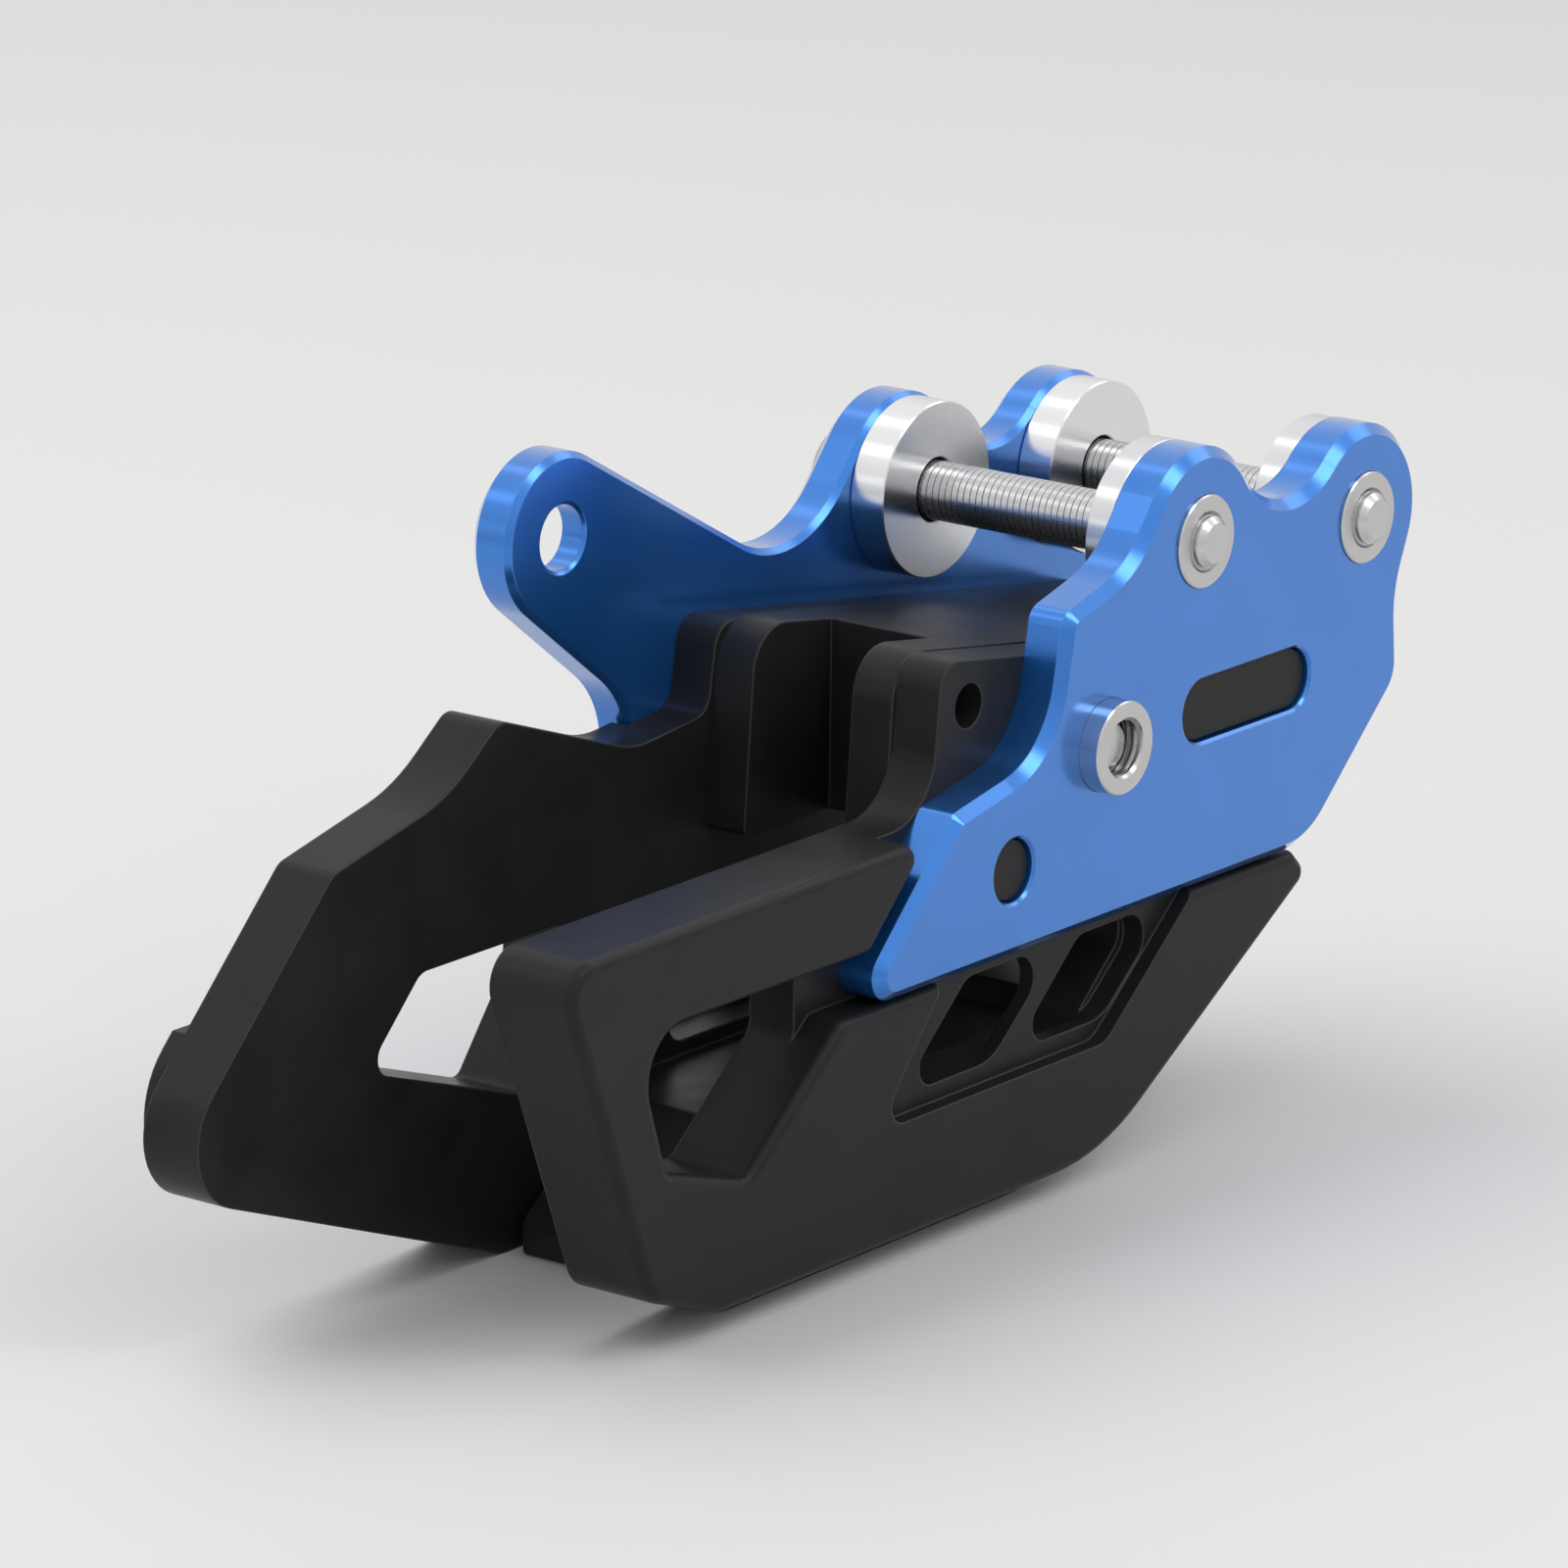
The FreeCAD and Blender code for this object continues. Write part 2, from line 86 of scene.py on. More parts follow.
def linear(hexColour):
    # sRGB hex to linear light
    channels = []
    for start in (1, 3, 5):
        value = int(hexColour[start:start + 2], 16) / 255
        channels.append(value / 12.92 if value <= 0.04045 else ((value + 0.055) / 1.055) ** 2.4)
    return (*channels, 1.0)


def addNode(tree, kind, sockets=None, **settings):
    # a socket takes a plain value, another node's output, or another node, meaning its first output
    node = tree.nodes.new(kind)
    for name, value in settings.items():
        setattr(node, name, value)
    for socket, value in (sockets or {}).items():
        if isinstance(value, bpy.types.Node):
            value = value.outputs[0]
        if isinstance(value, bpy.types.NodeSocket):
            tree.links.new(value, node.inputs[socket])
        else:
            node.inputs[socket].default_value = value
    return node


def newMaterial(name):
    material = bpy.data.materials.new(name)
    material.use_nodes = True
    material.node_tree.nodes.clear()
    return material, material.node_tree


noiseBand = (0.3, 0.7)          # the middle of a noise's range, stretched from 0 to 1

nylon = {
    "shade": "#202020",
    "light": "#262627",
    "edgeHighlight": "#454546",          # painted highlight along the rounded edges, a paler grey
    "roughness": (0.34, 0.44),
    "grain": 0.30 * mm,         # spark-eroded grain of the tool, drawn a little coarse
    "relief": (0.05, 0.05 * mm),  # strength and height of the grain
    "cloud": 9.0 * mm,          # soft cloudiness where the melt flowed
    "cloudDetail": 3.0,
    "edgeRound": 0.50 * mm,     # what the moulding tool leaves on its edges
    "highlightBend": (0.985, 0.85),  # cosines of the bend where the painted edge highlight starts and where it is full
    # strength of the painted edge highlight
    "highlightMost": 1.0,
    "ior": 1.5,
    "specular": 0.17,
}

anodised = {
    "shade": "#2579D3",
    "light": "#287EDC",
    "edgeHighlight": "#7FB0EA",          # painted highlight along the cut edges, a paler blue
    "roughness": (0.19, 0.23),
    "grain": 0.35 * mm,         # fine blasted grain under the dye
    "relief": (0.02, 0.02 * mm),
    "cloud": 14.0 * mm,
    "cloudDetail": 4.0,
    "edgeRound": 0.22 * mm,
    # where the painted edge highlight starts and is full, and how strong it gets
    "highlightBend": (0.99, 0.90),
    "highlightMost": 0.5,
    "metallic": 0.75,
    "coatRoughness": 0.20,
}


def makeSkin(tree, finish):
    # clouded colour, fine grain and a painted highlight along the edges of the two finished surfaces
    place = addNode(tree, "ShaderNodeTexCoord").outputs["Object"]
    cloud = addNode(tree, "ShaderNodeTexNoise", {
        "Vector": place, "Scale": 1 / finish["cloud"], "Detail": finish["cloudDetail"]})
    share = addNode(tree, "ShaderNodeMapRange", {
        "Value": cloud, "From Min": noiseBand[0], "From Max": noiseBand[1]})
    grain = addNode(tree, "ShaderNodeTexNoise", {
        "Vector": place, "Scale": 1 / finish["grain"], "Detail": 2.0})
    rounded = addNode(tree, "ShaderNodeBevel", {"Radius": finish["edgeRound"]}, samples=8)
    straight = addNode(tree, "ShaderNodeNewGeometry").outputs["Normal"]
    bend = addNode(tree, "ShaderNodeVectorMath", {0: rounded, 1: straight},
                   operation="DOT_PRODUCT").outputs["Value"]
    # painted highlight: where the rounded normal bends away from the true one, on edges, the colour is mixed
    # towards a paler one
    paintedHighlight = addNode(tree, "ShaderNodeMapRange", {
        "Value": bend, "From Min": finish["highlightBend"][0], "From Max": finish["highlightBend"][1],
        "To Max": finish["highlightMost"]})
    colour = addNode(tree, "ShaderNodeMix", {
        0: share, 6: linear(finish["shade"]), 7: linear(finish["light"])}, data_type="RGBA").outputs[2]
    highlightedColour = addNode(tree, "ShaderNodeMix", {
        0: paintedHighlight, 6: colour, 7: linear(finish["edgeHighlight"])}, data_type="RGBA").outputs[2]
    roughness = addNode(tree, "ShaderNodeMapRange", {
        "Value": share, "To Min": finish["roughness"][0], "To Max": finish["roughness"][1]})
    normal = addNode(tree, "ShaderNodeBump", {
        "Strength": finish["relief"][0], "Distance": finish["relief"][1], "Height": grain, "Normal": rounded})
    return {"Base Color": highlightedColour, "Roughness": roughness, "Normal": normal}


def makeNylon():
    # glass-filled nylon, injection moulded: a nearly black satin skin whose soft edges catch thin lights,
    # helped by a painted highlight along them
    material, tree = newMaterial("mouldedNylon")
    shader = addNode(tree, "ShaderNodeBsdfPrincipled", {
        **makeSkin(tree, nylon), "IOR": nylon["ior"], "Specular IOR Level": nylon["specular"]})
    addNode(tree, "ShaderNodeOutputMaterial", {"Surface": shader})
    return material


def makeAnodised():
    # blue anodised aluminium plate: an even satin blue that mirrors softly, with a painted highlight that
    # makes its cut edges paler
    material, tree = newMaterial("blueAnodisedAluminium")
    shader = addNode(tree, "ShaderNodeBsdfPrincipled", {
        **makeSkin(tree, anodised), "Metallic": anodised["metallic"],
        "Coat Weight": 1.0, "Coat Roughness": anodised["coatRoughness"]})
    addNode(tree, "ShaderNodeOutputMaterial", {"Surface": shader})
    return material


aluminium = {
    "metal": "#F0F0F1",
    "groove": "#E2E2E4",
    "sideRoughness": 0.22,
    "faceRoughness": 0.27,
    "toolMark": 0.30 * mm,      # between the turning marks, drawn coarser than they are
    "markDepth": 0.08,
}

insertSteel = {
    "metal": "#D2D0CF",
    "groove": "#CCCAC9",
    "sideRoughness": 0.16,
    "faceRoughness": 0.30,
    "toolMark": 0.25 * mm,
    "markDepth": 0.02,
}

turning = {
    "markHeight": 0.01 * mm,
    "fan": 0.8,                 # how far the fine rings draw a light out into a fan
    "lean": (0, 0.05, 0),       # gives the rims, where the ray meets the normal, a tangent too
}


def makeTurned(name, finish, centre):
    # bright metal from the lathe: a smooth side, and a face whose fine rings throw light in fans
    material, tree = newMaterial(name)
    place = addNode(tree, "ShaderNodeTexCoord").outputs["Object"]
    fromAxis = addNode(tree, "ShaderNodeVectorMath", {0: place, 1: centre}, operation="SUBTRACT")
    outward = addNode(tree, "ShaderNodeVectorMath", {0: fromAxis, 1: (1, 0, 1)}, operation="MULTIPLY")
    radius = addNode(tree, "ShaderNodeVectorMath", {0: outward}, operation="LENGTH").outputs["Value"]
    marks = addNode(tree, "ShaderNodeMath", {0: radius, 1: 2 * math.pi / finish["toolMark"]},
                    operation="MULTIPLY")
    wave = addNode(tree, "ShaderNodeMath", {0: marks}, operation="SINE")
    height = addNode(tree, "ShaderNodeMapRange", {"Value": wave, "From Min": -1.0, "From Max": 1.0})
    straight = addNode(tree, "ShaderNodeNewGeometry").outputs["Normal"]
    alongAxis = addNode(tree, "ShaderNodeSeparateXYZ", {0: straight}).outputs["Y"]
    onFace = addNode(tree, "ShaderNodeMath", {0: alongAxis}, operation="ABSOLUTE")
    ray = addNode(tree, "ShaderNodeVectorMath", {0: outward}, operation="NORMALIZE")
    across = addNode(tree, "ShaderNodeVectorMath", {0: ray, 1: turning["lean"]}, operation="ADD")
    normal = addNode(tree, "ShaderNodeBump", {
        "Strength": finish["markDepth"], "Distance": turning["markHeight"], "Height": height})
    colour = addNode(tree, "ShaderNodeMix", {
        0: height, 6: linear(finish["groove"]), 7: linear(finish["metal"])}, data_type="RGBA").outputs[2]
    roughness = addNode(tree, "ShaderNodeMapRange", {
        "Value": onFace, "To Min": finish["sideRoughness"], "To Max": finish["faceRoughness"]})
    shader = addNode(tree, "ShaderNodeBsdfPrincipled", {
        "Base Color": colour, "Roughness": roughness, "Normal": normal, "Tangent": across,
        "Metallic": 1.0, "Anisotropic": turning["fan"]})
    addNode(tree, "ShaderNodeOutputMaterial", {"Surface": shader})
    return material


boltSteel = {
    "shade": "#C9C9CB",
    "light": "#D0D0D1",
    "roughness": (0.24, 0.28),
    "grain": 0.4 * mm,
    "relief": (0.01, 0.01 * mm),
    "edgeRound": 0.10 * mm,
}


def makeBoltSteel():
    # plain rolled and machined steel: grey metal with a soft sheen and softened edges
    material, tree = newMaterial("plainBoltSteel")
    place = addNode(tree, "ShaderNodeTexCoord").outputs["Object"]
    grain = addNode(tree, "ShaderNodeTexNoise", {
        "Vector": place, "Scale": 1 / boltSteel["grain"], "Detail": 2.0})
    share = addNode(tree, "ShaderNodeMapRange", {
        "Value": grain, "From Min": noiseBand[0], "From Max": noiseBand[1]})
    rounded = addNode(tree, "ShaderNodeBevel", {"Radius": boltSteel["edgeRound"]}, samples=6)
    normal = addNode(tree, "ShaderNodeBump", {
        "Strength": boltSteel["relief"][0], "Distance": boltSteel["relief"][1],
        "Height": grain, "Normal": rounded})
    colour = addNode(tree, "ShaderNodeMix", {
        0: share, 6: linear(boltSteel["shade"]), 7: linear(boltSteel["light"])}, data_type="RGBA").outputs[2]
    roughness = addNode(tree, "ShaderNodeMapRange", {
        "Value": share, "To Min": boltSteel["roughness"][0], "To Max": boltSteel["roughness"][1]})
    shader = addNode(tree, "ShaderNodeBsdfPrincipled", {
        "Base Color": colour, "Roughness": roughness, "Normal": normal, "Metallic": 1.0})
    addNode(tree, "ShaderNodeOutputMaterial", {"Surface": shader})
    return material


def dress():
    # the moulded and milled pieces keep their CAD shape; what the lathe made is grown below
    plastic = makeNylon()
    blue = makeAnodised()
    for name, node in nodes.items():
        for holder in node.material_slots:
            holder.material = blue if name.endswith("side_plate") else plastic


thread = {                      # fine M8 thread
    "pitch": 1.0 * mm,
    "crest": 3.92 * mm,         # outer radius of the bolt's thread
    "root": 3.56 * mm,
    "hold": 0.15 * mm,          # how deep the ridge is rooted in the core
    "ridgeFoot": 0.90,          # widths of the ridge, in pitches
    "ridgeTop": 0.30,
    "leadIn": 0.6,              # turns over which the ridge swells at each end
    "leadStart": 0.1,           # its share of the full size where it starts
    "steps": 40,                # points for each turn
    "boreRadius": 3.62 * mm,    # inner radius of the insert's thread
    "boreDepth": 0.42 * mm,     # how far its groove is cut into the bore
    "cutterLead": 0.60 * mm,    # how far the cutter of the groove stands out of the insert
    "mouthRadius": 4.02 * mm,   # rim of the countersunk mouth of the insert
    "mouthDepth": 0.60 * mm,
}

boltShape = {
    "pointRadius": 3.46 * mm,   # short point in front of the thread
    "pointLength": 1.5 * mm,
    "pointBevel": 0.82 * mm,    # wide 45 degree bevel down to the flat end
    "furtherOut": {"front": 0.7 * mm, "rear": 0.7 * mm, "lower": 3.6 * mm},  # seen tip before the CAD one
    "plainShank": 9.0 * mm,     # unthreaded part under the head
    "headHeight": 4.4 * mm,
    "headRadius": 7.0 * mm,
    "headDome": 0.80,           # how far the dome closes towards the top
    "domeSteps": 12,
    "socketRadius": 2.887 * mm,  # to the corners of the hexagon
    "socketDepth": 2.6 * mm,
    "segments": 72,
}


def newTree(name, sizes):
    # a node group with a named input for each size
    tree = bpy.data.node_groups.new(name, "GeometryNodeTree")
    tree.interface.new_socket("Geometry", in_out="OUTPUT", socket_type="NodeSocketGeometry")
    for size, value in sizes.items():
        kind = "NodeSocketInt" if isinstance(value, int) else "NodeSocketFloat"
        tree.interface.new_socket(size, in_out="INPUT", socket_type=kind).default_value = value
    tree.interface.new_socket("Material", in_out="INPUT", socket_type="NodeSocketMaterial")
    return tree, addNode(tree, "NodeGroupInput").outputs


def closeTree(tree, pieces, sizes):
    joined = addNode(tree, "GeometryNodeJoinGeometry")
    for piece in pieces:
        tree.links.new(piece.outputs[0], joined.inputs[0])
    real = addNode(tree, "GeometryNodeRealizeInstances", {0: joined})
    coloured = addNode(tree, "GeometryNodeSetMaterial", {"Geometry": real, "Material": sizes["Material"]})
    addNode(tree, "NodeGroupOutput", {0: coloured})


def lift(tree, piece, height):
    place = addNode(tree, "ShaderNodeCombineXYZ", {"Z": height})
    return addNode(tree, "GeometryNodeTransform", {"Geometry": piece, "Translation": place})


def windRidge(tree, sizes):
    # a trapezoid ridge wound on a helix along Z, its narrow side outwards, thinned at both ends
    helix = addNode(tree, "GeometryNodeCurveSpiral", {
        "Resolution": sizes["Steps"], "Rotations": sizes["Turns"], "Start Radius": sizes["Helix Radius"],
        "End Radius": sizes["Helix Radius"], "Height": sizes["Threaded"], "Reverse": True})
    upright = addNode(tree, "GeometryNodeSetCurveNormal", {"Curve": helix}, mode="Z_UP")
    foot = addNode(tree, "ShaderNodeMath", {0: sizes["Pitch"], 1: thread["ridgeFoot"]}, operation="MULTIPLY")
    top = addNode(tree, "ShaderNodeMath", {0: sizes["Pitch"], 1: thread["ridgeTop"]}, operation="MULTIPLY")
    profile = addNode(tree, "GeometryNodeCurvePrimitiveQuadrilateral", {
        "Bottom Width": foot, "Top Width": top, "Offset": 0.0, "Height": sizes["Ridge"]}, mode="TRAPEZOID")
    turnedProfile = addNode(tree, "GeometryNodeTransform", {
        "Geometry": profile, "Rotation": (0, 0, math.pi / 2)})
    along = addNode(tree, "GeometryNodeSplineParameter").outputs["Factor"]
    fromEnd = addNode(tree, "ShaderNodeMath", {0: along, 1: 0.5}, operation="PINGPONG")
    turnsIn = addNode(tree, "ShaderNodeMath", {0: fromEnd, 1: sizes["Turns"]}, operation="MULTIPLY")
    swelling = addNode(tree, "ShaderNodeMapRange", {
        "Value": turnsIn, "From Max": thread["leadIn"], "To Min": thread["leadStart"]})
    return addNode(tree, "GeometryNodeCurveToMesh", {
        "Curve": upright, "Profile Curve": turnedProfile, "Scale": swelling.outputs[0], "Fill Caps": True})


def turnRing(tree, sizes):
    # a ring standing on z = 0 along Z, with a small chamfer on its edges
    outer, bore = sizes["Outer Radius"], sizes["Bore Radius"]
    wall = addNode(tree, "ShaderNodeMath", {0: outer, 1: bore}, operation="SUBTRACT")
    bothRadii = addNode(tree, "ShaderNodeMath", {0: outer, 1: bore}, operation="ADD")
    meanRadius = addNode(tree, "ShaderNodeMath", {0: bothRadii, 1: 0.5}, operation="MULTIPLY")
    path = addNode(tree, "GeometryNodeCurvePrimitiveCircle", {
        "Resolution": sizes["Segments"], "Radius": meanRadius})
    upright = addNode(tree, "GeometryNodeSetCurveNormal", {"Curve": path}, mode="Z_UP")
    section = addNode(tree, "GeometryNodeCurvePrimitiveQuadrilateral", {
        "Width": wall, "Height": sizes["Length"]}, mode="RECTANGLE")
    chamfered = addNode(tree, "GeometryNodeFilletCurve", {
        "Curve": section, "Count": 1, "Radius": sizes["Chamfer"]}, mode="POLY")
    ring = addNode(tree, "GeometryNodeCurveToMesh", {"Curve": upright, "Profile Curve": chamfered})
    half = addNode(tree, "ShaderNodeMath", {0: sizes["Length"], 1: 0.5}, operation="MULTIPLY")
    return lift(tree, ring, half)


def makeRingTree():
    tree, sizes = newTree("turnedRing", {
        "Outer Radius": 0.012, "Bore Radius": 0.0043, "Length": 0.005, "Chamfer": 0.0002, "Segments": 144})
    closeTree(tree, (turnRing(tree, sizes),), sizes)
    return tree


def makeBoltTree():
    # a core with a wound ridge, a bevelled point, a plain shank and a domed head with a hexagon socket
    tree, sizes = newTree("threadedBolt", {
        "Length": 0.05, "Crest": 0.0039, "Root": 0.0036, "Pitch": 0.001, "Threaded": 0.04, "Turns": 40.0,
        "Helix Radius": 0.0037, "Ridge": 0.0005, "Point Radius": 0.0035, "Point Length": 0.0015,
        "Point Bevel": 0.0008, "Head Height": 0.0044, "Head Radius": 0.007, "Head Dome": 0.8,
        "Socket Radius": 0.0029, "Socket Depth": 0.0026, "Steps": 40, "Segments": 72})
    ridge = lift(tree, windRidge(tree, sizes), sizes["Point Length"])

    coreLength = addNode(tree, "ShaderNodeMath", {0: sizes["Length"], 1: sizes["Point Length"]},
                         operation="SUBTRACT")
    coreRod = addNode(tree, "GeometryNodeMeshCone", {
        "Vertices": sizes["Segments"], "Radius Top": sizes["Root"], "Radius Bottom": sizes["Root"],
        "Depth": coreLength})
    core = lift(tree, coreRod, sizes["Point Length"])

    pointDepth = addNode(tree, "ShaderNodeMath", {0: sizes["Point Length"], 1: sizes["Point Bevel"]},
                         operation="SUBTRACT")
    pointRod = addNode(tree, "GeometryNodeMeshCone", {
        "Vertices": sizes["Segments"], "Radius Top": sizes["Point Radius"],
        "Radius Bottom": sizes["Point Radius"], "Depth": pointDepth})
    point = lift(tree, pointRod, sizes["Point Bevel"])
    tipRadius = addNode(tree, "ShaderNodeMath", {0: sizes["Point Radius"], 1: sizes["Point Bevel"]},
                        operation="SUBTRACT")
    tip = addNode(tree, "GeometryNodeMeshCone", {
        "Vertices": sizes["Segments"], "Radius Top": sizes["Point Radius"], "Radius Bottom": tipRadius,
        "Depth": sizes["Point Bevel"]})

    shankStart = addNode(tree, "ShaderNodeMath", {0: sizes["Point Length"], 1: sizes["Threaded"]},
                         operation="ADD")
    shankLength = addNode(tree, "ShaderNodeMath", {0: sizes["Length"], 1: shankStart}, operation="SUBTRACT")
    shankRod = addNode(tree, "GeometryNodeMeshCone", {
        "Vertices": sizes["Segments"], "Radius Top": sizes["Crest"], "Radius Bottom": sizes["Crest"],
        "Depth": shankLength})
    shank = lift(tree, shankRod, shankStart)

    blank = addNode(tree, "GeometryNodeMeshCone", {
        "Vertices": sizes["Segments"], "Side Segments": boltShape["domeSteps"],
        "Radius Top": sizes["Head Radius"], "Radius Bottom": sizes["Head Radius"],
        "Depth": sizes["Head Height"]})
    spot = addNode(tree, "GeometryNodeInputPosition")
    level = addNode(tree, "ShaderNodeSeparateXYZ", {0: spot}).outputs["Z"]
    share = addNode(tree, "ShaderNodeMath", {0: level, 1: sizes["Head Height"]}, operation="DIVIDE")
    squared = addNode(tree, "ShaderNodeMath", {0: share, 1: share}, operation="MULTIPLY")
    closing = addNode(tree, "ShaderNodeMath", {0: squared, 1: sizes["Head Dome"]}, operation="MULTIPLY")
    left = addNode(tree, "ShaderNodeMath", {0: 1.0, 1: closing}, operation="SUBTRACT")
    width = addNode(tree, "ShaderNodeMath", {0: left}, operation="SQRT")
    drawnIn = addNode(tree, "ShaderNodeCombineXYZ", {"X": width, "Y": width, "Z": 1.0})
    domeSpot = addNode(tree, "ShaderNodeVectorMath", {0: spot, 1: drawnIn}, operation="MULTIPLY")
    dome = addNode(tree, "GeometryNodeSetPosition", {"Geometry": blank, "Position": domeSpot})
    hexagon = addNode(tree, "GeometryNodeMeshCone", {
        "Vertices": 6, "Radius Top": sizes["Socket Radius"], "Radius Bottom": sizes["Socket Radius"],
        "Depth": sizes["Head Height"]})
    socketFloor = addNode(tree, "ShaderNodeMath", {0: sizes["Head Height"], 1: sizes["Socket Depth"]},
                          operation="SUBTRACT")
    pierced = addNode(tree, "GeometryNodeMeshBoolean", {
        "Mesh 1": dome, "Mesh 2": lift(tree, hexagon, socketFloor)}, operation="DIFFERENCE")
    head = lift(tree, pierced, sizes["Length"])
    closeTree(tree, (ridge, core, point, tip, shank, head), sizes)
    return tree


def makeInsertTree():
    # a ring with a helical groove cut into its bore, and a mouth countersunk at 45 degrees
    tree, sizes = newTree("threadedInsert", {
        "Outer Radius": 0.006, "Bore Radius": 0.0036, "Length": 0.006, "Chamfer": 0.0002, "Segments": 144,
        "Threaded": 0.006, "Turns": 6.0, "Helix Radius": 0.0037, "Ridge": 0.0005, "Pitch": 0.001,
        "Start": -0.0006, "Phase": 0.0, "Steps": 40, "Mouth Radius": 0.004, "Mouth Depth": 0.0006})
    start = addNode(tree, "ShaderNodeCombineXYZ", {"Z": sizes["Start"]})
    phase = addNode(tree, "ShaderNodeCombineXYZ", {"Z": sizes["Phase"]})
    cutter = addNode(tree, "GeometryNodeTransform", {
        "Geometry": windRidge(tree, sizes), "Translation": start, "Rotation": phase})
    grooved = addNode(tree, "GeometryNodeMeshBoolean", {
        "Mesh 1": turnRing(tree, sizes), "Mesh 2": cutter}, operation="DIFFERENCE", solver="MANIFOLD")

    mouth, depth = sizes["Mouth Radius"], sizes["Mouth Depth"]
    wide = addNode(tree, "ShaderNodeMath", {0: mouth, 1: depth}, operation="ADD")
    narrow = addNode(tree, "ShaderNodeMath", {0: mouth, 1: depth}, operation="SUBTRACT")
    height = addNode(tree, "ShaderNodeMath", {0: depth, 1: 2.0}, operation="MULTIPLY")
    under = addNode(tree, "ShaderNodeMath", {0: depth, 1: -1.0}, operation="MULTIPLY")
    sink = addNode(tree, "GeometryNodeMeshCone", {
        "Vertices": sizes["Segments"], "Radius Top": narrow, "Radius Bottom": wide, "Depth": height})
    opened = addNode(tree, "GeometryNodeMeshBoolean", {
        "Mesh 1": grooved, "Mesh 2": lift(tree, sink, under)}, operation="DIFFERENCE", solver="MANIFOLD")
    closeTree(tree, (opened,), sizes)
    return tree


sharpAngle = math.radians(35)   # edges that bend more stay crisp


def grow(name, tree, values, place):
    # runs a node group once and keeps the result as a plain mesh that stands along +Y at the given place
    holder = bpy.data.objects.new(name, bpy.data.meshes.new(name + "Seed"))
    bpy.context.collection.objects.link(holder)
    modifier = holder.modifiers.new("grow", "NODES")
    modifier.node_group = tree
    for item in tree.interface.items_tree:
        if item.item_type == "SOCKET" and item.in_out == "INPUT":
            modifier[item.identifier] = values[item.name]
    bpy.context.view_layer.update()
    evaluated = holder.evaluated_get(bpy.context.evaluated_depsgraph_get())
    mesh = bpy.data.meshes.new_from_object(evaluated)
    holder.modifiers.remove(modifier)
    holder.data = mesh
    mesh.name = name
    mesh.transform(Matrix.Translation(Vector(place)) @ Matrix.Rotation(-math.pi / 2, 4, "X"))
    for polygon in mesh.polygons:
        polygon.use_smooth = True
    mesh.set_sharp_from_angle(angle=sharpAngle)
    return holder


rings = {
    "chamfer": 0.18 * mm,
    "bore": 4.3 * mm,           # clearance hole of spacers and washers
    "segments": 144,
}


def middle(node):
    low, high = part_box(node)
    return [(a + b) / 2 for a, b in zip(low, high)]


def settle(piece, node):
    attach(piece, "root")
    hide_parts(node)


def makeRings(steel):
    tree = makeRingTree()
    kinds = {"outer_spacer": ("front", "rear"), "inner_spacer": ("front", "rear"),
             "washer": ("front", "rear", "lower")}
    for kind, places in kinds.items():
        for end in places:
            node = kind + "_" + end
            low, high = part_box(node)
            x, _, z = middle(node)
            if kind == "washer":
                metal, slot = steel, "steel"
            else:
                metal = makeTurned("turnedAluminium_" + node, aluminium, middle(node))
                slot = "bright_aluminium"
            ring = grow("turned_" + node, tree, {
                "Outer Radius": (high[2] - low[2]) / 2,
                "Bore Radius": rings["bore"],
                "Length": high[1] - low[1],
                "Chamfer": rings["chamfer"],
                "Segments": rings["segments"],
                "Material": metal,
            }, (x, low[1], z))
            settle(ring, node)


def makeFasteners(steel):
    boltTree = makeBoltTree()
    insertTree = makeInsertTree()
    for end in ("front", "rear", "lower"):
        node = "bolt_" + end
        low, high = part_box(node)
        tip = low[1] - boltShape["furtherOut"][end]
        x, _, z = middle(node)
        length = high[1] - tip - boltShape["headHeight"]
        threaded = length - boltShape["pointLength"] - boltShape["plainShank"]
        ridge = thread["crest"] - thread["root"] + thread["hold"]
        bolt = grow("threaded_" + node, boltTree, {
            "Length": length,
            "Crest": thread["crest"],
            "Root": thread["root"],
            "Pitch": thread["pitch"],
            "Threaded": threaded,
            "Turns": threaded / thread["pitch"],
            "Helix Radius": thread["crest"] - ridge / 2,
            "Ridge": ridge,
            "Point Radius": boltShape["pointRadius"],
            "Point Length": boltShape["pointLength"],
            "Point Bevel": boltShape["pointBevel"],
            "Head Height": boltShape["headHeight"],
            "Head Radius": boltShape["headRadius"],
            "Head Dome": boltShape["headDome"],
            "Socket Radius": boltShape["socketRadius"],
            "Socket Depth": boltShape["socketDepth"],
            "Steps": thread["steps"],
            "Segments": boltShape["segments"],
            "Material": steel,
        }, (x, tip, z))
        settle(bolt, node)

        node = "insert_" + end
        low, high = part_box(node)
        groove = thread["boreDepth"] + thread["hold"]
        cutterTurns = (high[1] - low[1] + 2 * thread["cutterLead"]) / thread["pitch"]
        fromBolt = (low[1] - thread["cutterLead"] - tip - boltShape["pointLength"]) / thread["pitch"]
        insert = grow("threaded_" + node, insertTree, {
            "Outer Radius": (high[2] - low[2]) / 2,
            "Bore Radius": thread["boreRadius"],
            "Length": high[1] - low[1],
            "Chamfer": rings["chamfer"],
            "Segments": rings["segments"],
            "Threaded": cutterTurns * thread["pitch"],
            "Turns": cutterTurns,
            "Helix Radius": thread["boreRadius"] + thread["boreDepth"] - groove / 2,
            "Ridge": groove,
            "Pitch": thread["pitch"],
            "Start": -thread["cutterLead"],
            "Mouth Radius": thread["mouthRadius"],
            "Mouth Depth": thread["mouthDepth"],
            "Phase": 2 * math.pi * fromBolt,
            "Steps": thread["steps"],
            "Material": makeTurned("turnedSteel_" + node, insertSteel, middle(node)),
        }, (x, low[1], z))
        settle(insert, node)


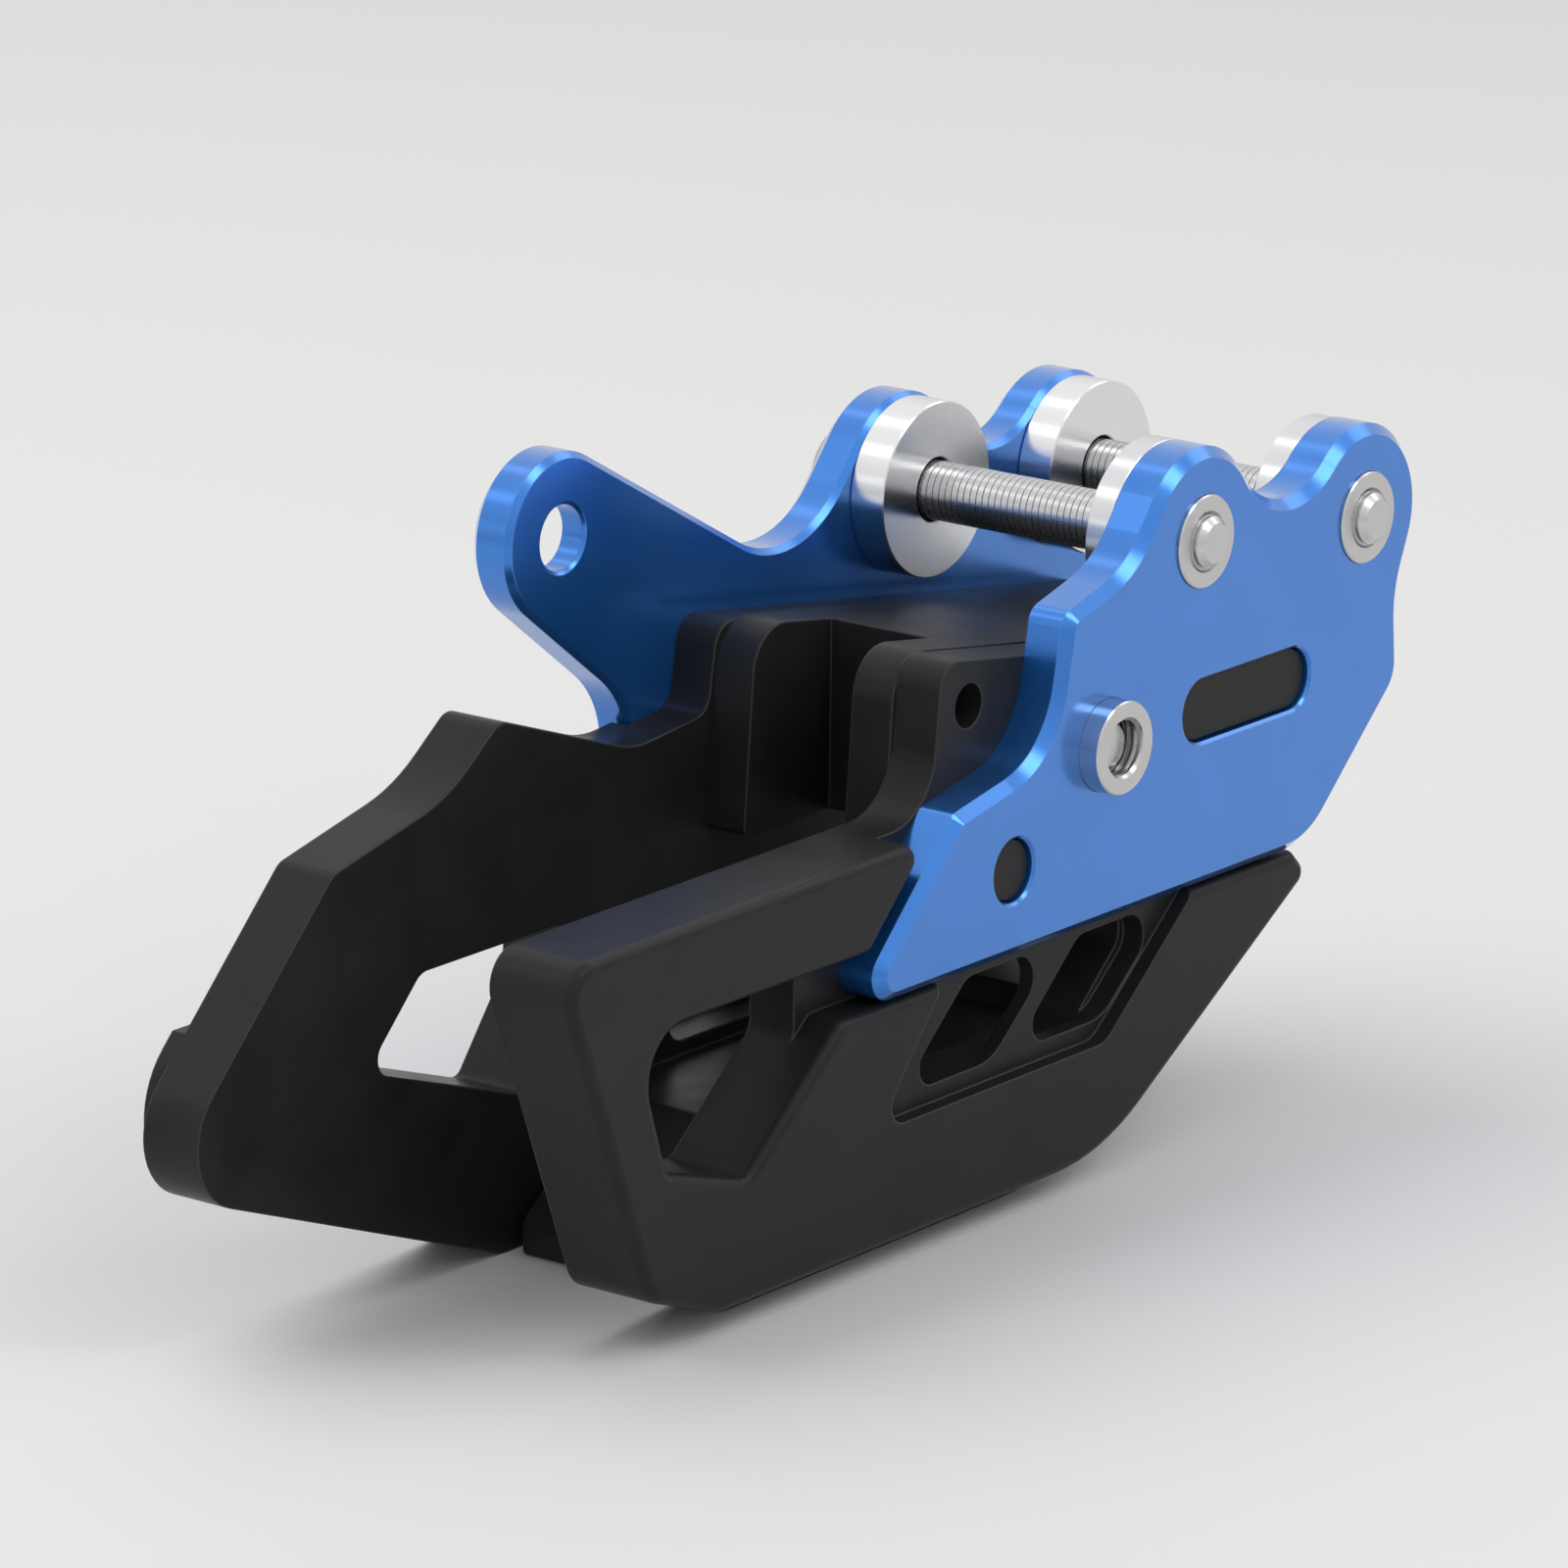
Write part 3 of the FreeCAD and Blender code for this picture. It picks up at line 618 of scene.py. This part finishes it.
studio = {
    "floor": "#EAEAE9",
    "floorRoughness": 0.6,
    "floorSize": 8,             # metres
    "world": 0.58,              # light from all round
    "horizon": "#DEDEDF",       # backdrop near the floor and overhead, as seen and mirrored
    "overhead": "#FFFFFF",
    "overheadFrom": 0.6,        # sine of the elevation where the backdrop is all white
    "backdrop": 0.95,
}

lamps = {                       # place in metres, size in metres across and along, power in watts
    "overheadSoftbox": {
        "place": (-0.30, 0.64, 0.97), "size": (1.35, 1.00), "power": 5.0, "mirrored": False},
    "rightSoftbox": {"place": (0.90, -0.30, 0.80), "size": (0.40, 0.60), "power": 0.7, "mirrored": True},
    "frontFill": {"place": (-0.35, -1.10, 0.60), "size": (0.80, 0.60), "power": 1.6, "mirrored": False},
    "frontSoftbox": {"place": (0.18, -0.74, 0.98), "size": (0.36, 0.50), "power": 1.8, "mirrored": True},
    "lowStrip": {"place": (-0.90, 0.66, 0.30), "size": (0.16, 0.90), "power": 0.12, "mirrored": True},
    "middleStrip": {"place": (-0.52, 0.66, 0.83), "size": (0.20, 0.90), "power": 0.40, "mirrored": True},
    "highStrip": {"place": (0.16, 0.66, 1.02), "size": (0.16, 0.90), "power": 0.32, "mirrored": True},
}
lampAim = (0, 0, 0.05)


def makeWorld():
    world = bpy.data.worlds.new("paleStudio")
    bpy.context.scene.world = world
    world.use_nodes = True
    tree = world.node_tree
    tree.nodes.clear()
    towards = addNode(tree, "ShaderNodeTexCoord").outputs["Generated"]
    height = addNode(tree, "ShaderNodeSeparateXYZ", {0: towards}).outputs["Z"]
    rise = addNode(tree, "ShaderNodeMapRange", {
        "Value": height, "From Min": 0.0, "From Max": studio["overheadFrom"]})
    sky = addNode(tree, "ShaderNodeMix", {
        0: rise, 6: linear(studio["horizon"]), 7: linear(studio["overhead"])}, data_type="RGBA").outputs[2]
    path = addNode(tree, "ShaderNodeLightPath").outputs
    seen = addNode(tree, "ShaderNodeMath", {0: path["Is Camera Ray"], 1: path["Is Transmission Ray"]},
                   operation="ADD")
    shown = addNode(tree, "ShaderNodeMath", {0: seen, 1: path["Is Glossy Ray"]},
                    operation="ADD", use_clamp=True)
    light = addNode(tree, "ShaderNodeBackground", {"Color": (1, 1, 1, 1), "Strength": studio["world"]})
    backdrop = addNode(tree, "ShaderNodeBackground", {"Color": sky, "Strength": studio["backdrop"]})
    both = addNode(tree, "ShaderNodeMixShader", {0: shown, 1: light, 2: backdrop})
    addNode(tree, "ShaderNodeOutputWorld", {"Surface": both})


def makeFloor():
    bpy.ops.mesh.primitive_plane_add(size=studio["floorSize"], location=(0, 0, 0))
    floor = bpy.context.object
    floor.name = "floor"
    material, tree = newMaterial("paleFloor")
    shader = addNode(tree, "ShaderNodeBsdfPrincipled", {
        "Base Color": linear(studio["floor"]), "Roughness": studio["floorRoughness"]})
    addNode(tree, "ShaderNodeOutputMaterial", {"Surface": shader})
    floor.data.materials.append(material)


def makeLamps():
    for name, lamp in lamps.items():
        data = bpy.data.lights.new(name, "AREA")
        data.shape = "RECTANGLE"
        data.size, data.size_y = lamp["size"]
        data.energy = lamp["power"]
        softbox = bpy.data.objects.new(name, data)
        backwards = (Vector(lamp["place"]) - Vector(lampAim)).normalized()
        across = Vector((0, 1, 0)).cross(backwards).normalized()
        turn = Matrix((across, backwards.cross(across), backwards)).transposed().to_4x4()
        softbox.matrix_world = Matrix.Translation(Vector(lamp["place"])) @ turn
        softbox.visible_glossy = lamp["mirrored"]
        bpy.context.collection.objects.link(softbox)


bpy.context.scene.view_settings.view_transform = "Standard"
makeCamera()
makeWorld()
makeFloor()
makeLamps()
print("camera and studio set")
dress()
print("moulded and milled pieces finished")
boltMetal = makeBoltSteel()
makeRings(boltMetal)
makeFasteners(boltMetal)
print("spacers, washers, inserts and bolts turned")
